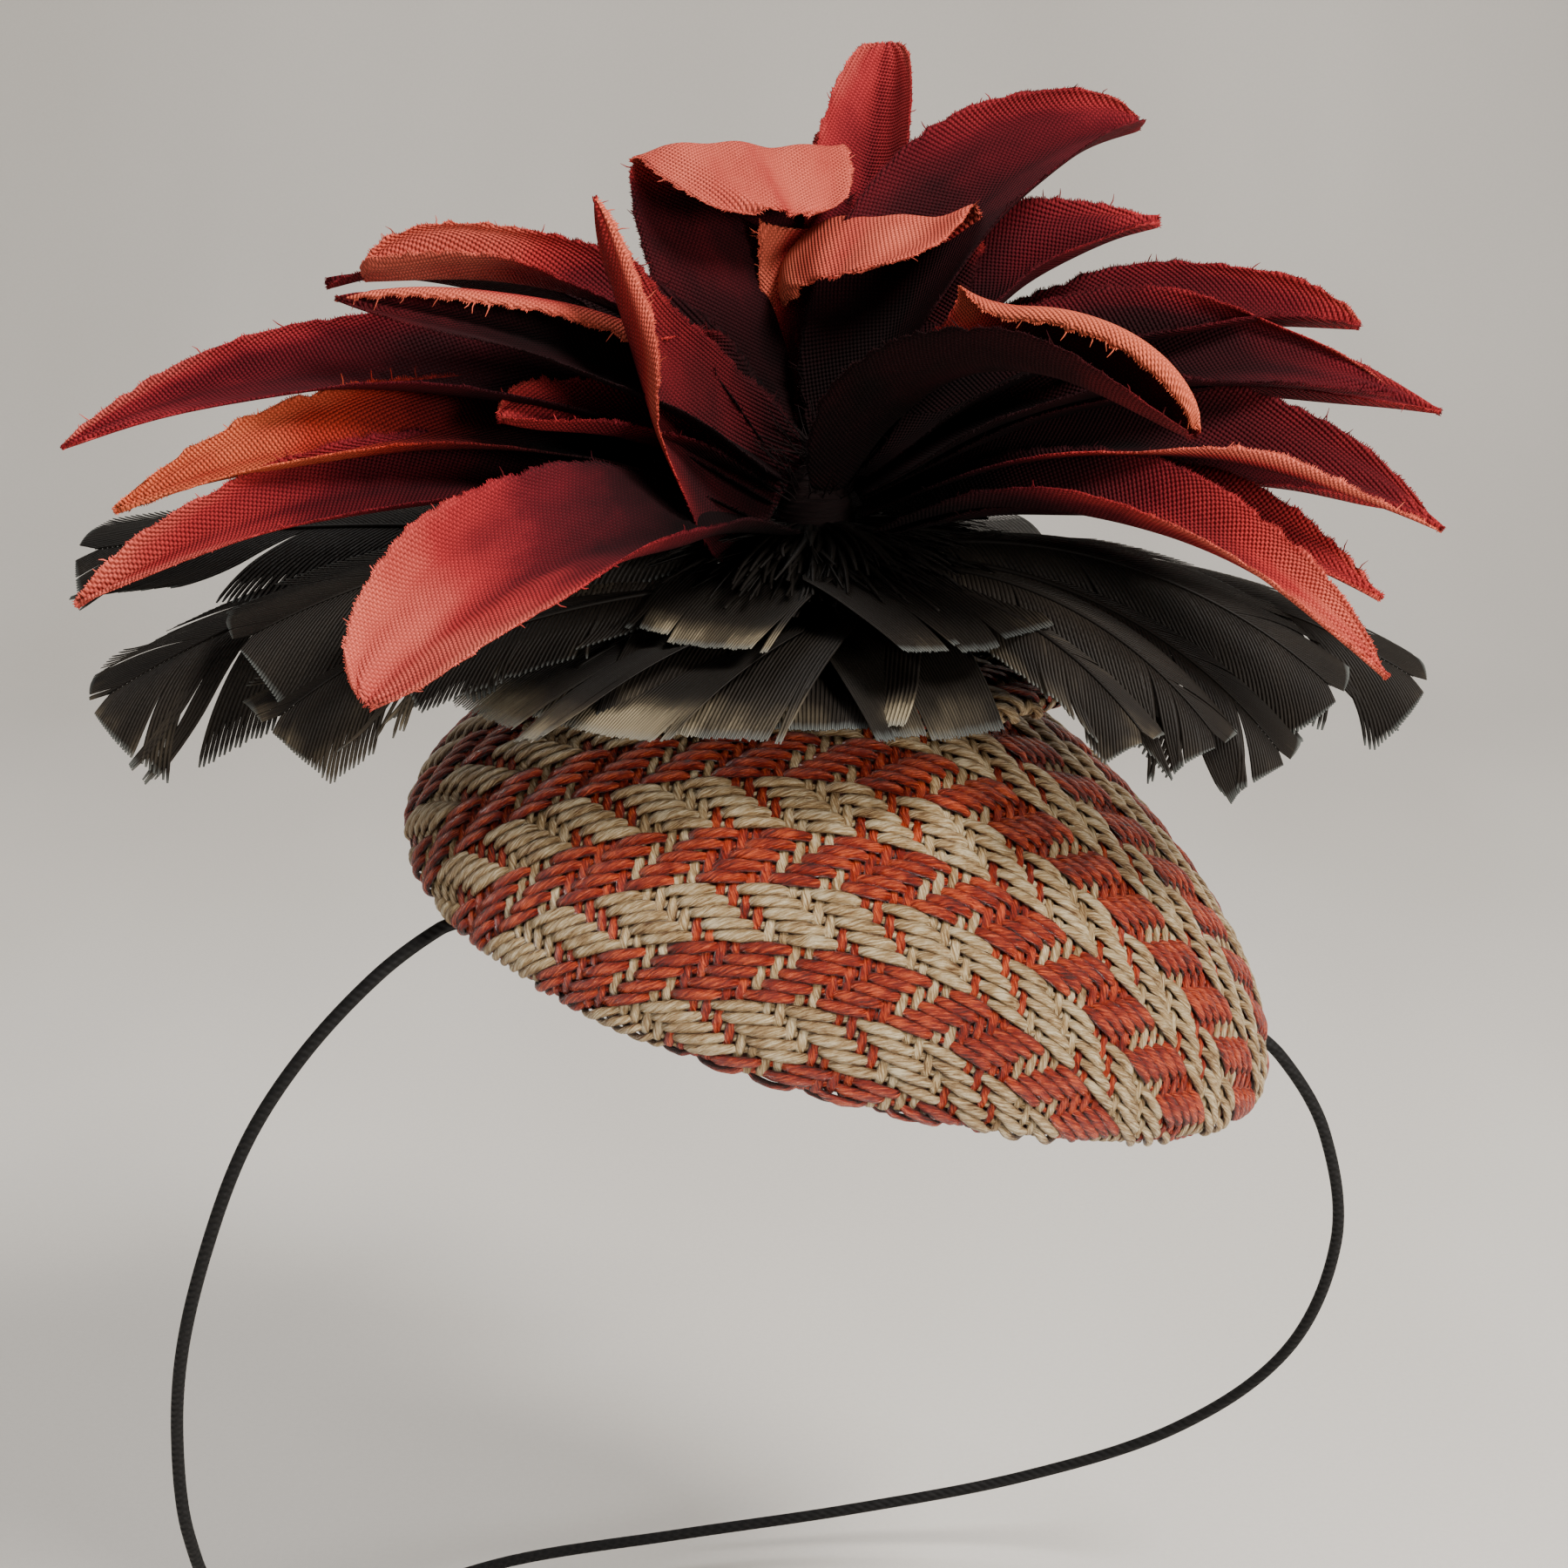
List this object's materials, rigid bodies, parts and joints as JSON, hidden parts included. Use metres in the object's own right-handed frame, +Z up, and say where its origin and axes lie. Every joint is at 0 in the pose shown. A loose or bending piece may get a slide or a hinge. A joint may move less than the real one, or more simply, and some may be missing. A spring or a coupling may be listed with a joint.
{
  "type": "fascinator headpiece",
  "caption": "Teardrop percher base in two-colour woven fabric, carrying a layer of square-cut dark feathers and a large fabric flower, held on by an elastic loop.",
  "frame": {"origin": "middle of the base's rim opening, where it sits on the head", "axes": "+Z up as worn, +X along the long side towards the lower tip, +Y to the back of the base, away from the side with the open flower front"},
  "size_m": [0.1973, 0.1549, 0.2726],
  "materials": {
    "woven_fabric": "broken-twill weave of cream and rust silky yarns",
    "buckram": "stiffened open weave",
    "lining_fabric": "smooth satin lining",
    "wire": "covered millinery wire",
    "felt": "dense felt",
    "petal_fabric": "dyed plain-weave petals, dark at the foot and coral at the tip, raw frayed edges",
    "feather": "glossy barbs with a bronze sheen, cut square",
    "hub": "wrapped and glued",
    "elastic": "round braided hat elastic"
  },
  "bodies": {
    "root": {"buckram_shell": "buckram", "edge_wire": "wire", "elastic_knot_left": "elastic", "elastic_knot_right": "elastic", "elastic_loop": "elastic", "feather_back_1": "feather", "feather_back_2": "feather", "feather_front_1": "feather", "feather_front_2": "feather", "feather_front_3": "feather", "feather_front_4": "feather", "feather_front_5": "feather", "feather_front_6": "feather", "feather_front_7": "feather", "feather_left_1": "feather", "feather_left_2": "feather", "feather_left_3": "feather", "feather_left_4": "feather", "feather_left_5": "feather", "feather_pad": "felt", "feather_right_1": "feather", "feather_right_2": "feather", "feather_right_3": "feather", "feather_right_4": "feather", "feather_right_5": "feather", "flower_hub": "hub", "lining": "lining_fabric", "petal_back_1": "petal_fabric", "petal_back_2": "petal_fabric", "petal_back_3": "petal_fabric", "petal_back_4": "petal_fabric", "petal_centre_1": "petal_fabric", "petal_centre_2": "petal_fabric", "petal_centre_3": "petal_fabric", "petal_centre_4": "petal_fabric", "petal_centre_5": "petal_fabric", "petal_left_1": "petal_fabric", "petal_left_2": "petal_fabric", "petal_left_3": "petal_fabric", "petal_left_4": "petal_fabric", "petal_left_5": "petal_fabric", "petal_left_6": "petal_fabric", "petal_left_7": "petal_fabric", "petal_left_8": "petal_fabric", "petal_right_1": "petal_fabric", "petal_right_10": "petal_fabric", "petal_right_2": "petal_fabric", "petal_right_3": "petal_fabric", "petal_right_4": "petal_fabric", "petal_right_5": "petal_fabric", "petal_right_6": "petal_fabric", "petal_right_7": "petal_fabric", "petal_right_8": "petal_fabric", "petal_right_9": "petal_fabric", "trim_disc_backing": "felt", "trim_disc_core": "buckram", "trim_disc_cover": "woven_fabric", "woven_cover": "woven_fabric"}
  },
  "joints": []
}
